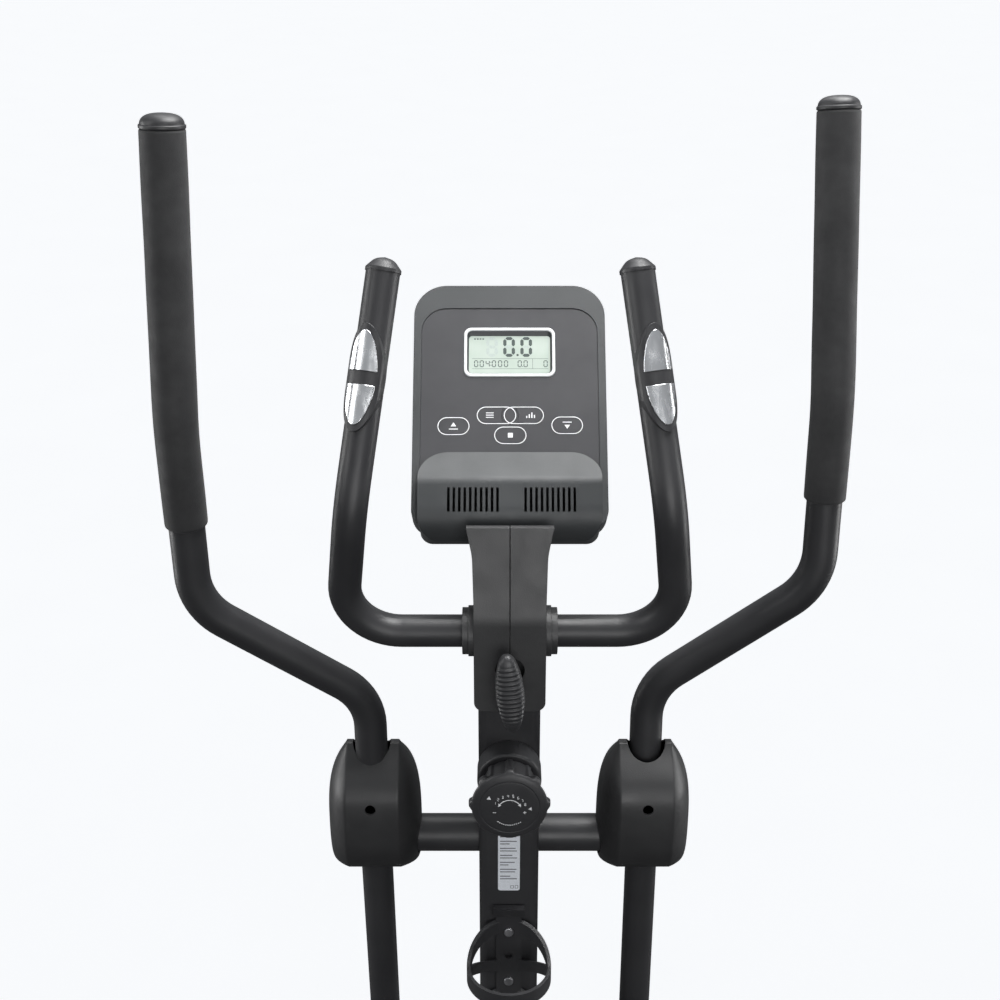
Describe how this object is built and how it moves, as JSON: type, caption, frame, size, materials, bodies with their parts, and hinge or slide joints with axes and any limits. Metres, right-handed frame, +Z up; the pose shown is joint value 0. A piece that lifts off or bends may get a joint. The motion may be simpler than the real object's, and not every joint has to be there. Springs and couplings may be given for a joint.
{
  "type": "elliptical trainer",
  "caption": "Free-standing elliptical trainer with swinging handles, a fixed handlebar with pulse plates, a tilted display, a tension knob, pedals and a rear drive.",
  "frame": {"origin": "on the floor, under the middle of the machine's length and width", "axes": "+Z up, +Y away from the user towards the mast and front stabiliser, +X to the user's right"},
  "size_m": [0.608, 1.18, 1.6106],
  "materials": {
    "frame_paint": "fine-textured black powder coat",
    "steel": "zinc-plated steel",
    "cover_plastic": "matte moulded black plastic",
    "cap_plastic": "satin moulded black plastic",
    "console_plastic": "satin dark grey plastic",
    "panel_plastic": "fine-grained grey overlay",
    "bezel_plastic": "silver-white gloss",
    "display_glass": "pale green liquid-crystal glass",
    "button_plastic": "satin grey",
    "circuit_board": "green solder mask",
    "foam": "matte black foam",
    "sensor_metal": "bright polished contact plate",
    "belt_rubber": "ribbed black belt",
    "cable_sheath": "black cable sheath",
    "flywheel_iron": "machined cast iron",
    "wheel_rubber": "hard black rubber",
    "pedal_plastic": "coarse-grained black plastic"
  },
  "bodies": {
    "frame": {"base_frame": "frame_paint", "stabilizer_tubes": "frame_paint", "stabilizer_end_caps": "cap_plastic", "frame_fasteners": "steel", "mast": "frame_paint", "mast_base_cover": "cover_plastic", "pivot_axle": "steel", "crank_bearings": "steel", "flywheel_axle": "steel", "drive_belt": "belt_rubber", "left_housing_shell": "cover_plastic", "right_housing_shell": "cover_plastic", "cover_screws": "steel", "mast_head_cover_left": "cover_plastic", "mast_head_cover_right": "cover_plastic", "handlebar_saddle": "frame_paint", "tension_control_housing": "cap_plastic", "tension_cable": "cable_sheath", "bottle_cage": "cap_plastic", "console_bracket": "frame_paint", "console_back_shell": "console_plastic", "console_front_panel": "panel_plastic", "console_hood": "console_plastic", "console_circuit_board": "circuit_board", "lcd_bezel": "bezel_plastic", "lcd_screen": "display_glass"},
    "handlebar": {"handlebar": "frame_paint", "handlebar_end_caps": "cap_plastic", "pulse_sensor_housings": "cap_plastic", "pulse_sensor_plates": "sensor_metal"},
    "clamp_knob": {"clamp_knob": "cap_plastic"},
    "tension_knob": {"tension_knob": "cap_plastic"},
    "up_button": {"up_button": "button_plastic"},
    "mode_button": {"mode_button": "button_plastic"},
    "program_button": {"program_button": "button_plastic"},
    "reset_button": {"reset_button": "button_plastic"},
    "down_button": {"down_button": "button_plastic"},
    "left_arm": {"left_lower_arm": "frame_paint", "left_pivot_fittings": "steel", "left_pivot_cover": "cover_plastic", "left_upper_handle": "frame_paint", "left_grip": "foam", "left_grip_cap": "cap_plastic"},
    "left_bar": {"left_pedal_bar": "frame_paint", "left_pedal": "pedal_plastic"},
    "right_arm": {"right_lower_arm": "frame_paint", "right_pivot_fittings": "steel", "right_pivot_cover": "cover_plastic", "right_upper_handle": "frame_paint", "right_grip": "foam", "right_grip_cap": "cap_plastic"},
    "right_bar": {"right_pedal_bar": "frame_paint", "right_pedal": "pedal_plastic"},
    "crank": {"crank": "steel", "crank_discs": "cover_plastic", "crank_pulley": "cap_plastic"},
    "flywheel": {"flywheel": "flywheel_iron"},
    "brake": {"magnet_bracket": "frame_paint"},
    "left_wheel": {"left_transport_wheel": "wheel_rubber"},
    "right_wheel": {"right_transport_wheel": "wheel_rubber"}
  },
  "joints": [
    {"name": "crank_turn", "type": "hinge", "parent": "frame", "child": "crank", "pos_m": [0, -0.356, 0.3], "axis": [1, 0, 0], "continuous": true},
    {"name": "flywheel_spin", "type": "hinge", "parent": "frame", "child": "flywheel", "pos_m": [0, -0.146, 0.262], "axis": [1, 0, 0], "continuous": true},
    {"name": "left_arm_swing", "type": "hinge", "parent": "frame", "child": "left_arm", "pos_m": [0, 0.434, 0.88], "axis": [1, 0, 0], "range_deg": [-14.3, 8]},
    {"name": "right_arm_swing", "type": "hinge", "parent": "frame", "child": "right_arm", "pos_m": [0, 0.434, 0.88], "axis": [1, 0, 0], "range_deg": [-8, 14.3]},
    {"name": "left_pedal_bar_tilt", "type": "hinge", "parent": "left_arm", "child": "left_bar", "pos_m": [0, 0.51023, 0.23448], "axis": [1, 0, 0], "range_deg": [-8, 14.3]},
    {"name": "right_pedal_bar_tilt", "type": "hinge", "parent": "right_arm", "child": "right_bar", "pos_m": [0, 0.43522, 0.23], "axis": [1, 0, 0], "range_deg": [-14.3, 8]},
    {"name": "handlebar_tilt", "type": "hinge", "parent": "frame", "child": "handlebar", "pos_m": [0, 0.384, 1.1418], "axis": [1, 0, 0], "range_deg": [-12, 18]},
    {"name": "clamp_knob_turn", "type": "hinge", "parent": "frame", "child": "clamp_knob", "pos_m": [0, 0.352, 1.106], "axis": [0, 1, 0], "continuous": true},
    {"name": "tension_knob_turn", "type": "hinge", "parent": "frame", "child": "tension_knob", "pos_m": [0, 0.364, 0.979], "axis": [0, 1, 0], "range_deg": [0, 270]},
    {"name": "brake_bracket_swing", "type": "hinge", "parent": "frame", "child": "brake", "pos_m": [0, -0.12819, 0.38875], "axis": [1, 0, 0], "range_deg": [-5.1, 0.1]},
    {"name": "up_button_press", "type": "slide", "parent": "frame", "child": "up_button", "axis": [0, 0.766, -0.6428], "range_m": [0, 0.001], "stiffness_N_per_m": 400},
    {"name": "mode_button_press", "type": "slide", "parent": "frame", "child": "mode_button", "axis": [0, 0.766, -0.6428], "range_m": [0, 0.001], "stiffness_N_per_m": 400},
    {"name": "program_button_press", "type": "slide", "parent": "frame", "child": "program_button", "axis": [0, 0.766, -0.6428], "range_m": [0, 0.001], "stiffness_N_per_m": 400},
    {"name": "reset_button_press", "type": "slide", "parent": "frame", "child": "reset_button", "axis": [0, 0.766, -0.6428], "range_m": [0, 0.001], "stiffness_N_per_m": 400},
    {"name": "down_button_press", "type": "slide", "parent": "frame", "child": "down_button", "axis": [0, 0.766, -0.6428], "range_m": [0, 0.001], "stiffness_N_per_m": 400},
    {"name": "left_wheel_spin", "type": "hinge", "parent": "frame", "child": "left_wheel", "pos_m": [-0.235, 0.565, 0.029], "axis": [1, 0, 0], "continuous": true},
    {"name": "right_wheel_spin", "type": "hinge", "parent": "frame", "child": "right_wheel", "pos_m": [0.235, 0.565, 0.029], "axis": [1, 0, 0], "continuous": true}
  ],
  "couplings": [
    {"joint": "flywheel_spin", "follows": "crank_turn", "ratio": 7.1413},
    {"joint": "right_arm_swing", "follows": "left_arm_swing", "ratio": -1},
    {"joint": "left_pedal_bar_tilt", "follows": "left_arm_swing", "ratio": -1},
    {"joint": "right_pedal_bar_tilt", "follows": "left_arm_swing", "ratio": 1},
    {"joint": "brake_bracket_swing", "follows": "tension_knob_turn", "ratio": -0.018519}
  ]
}
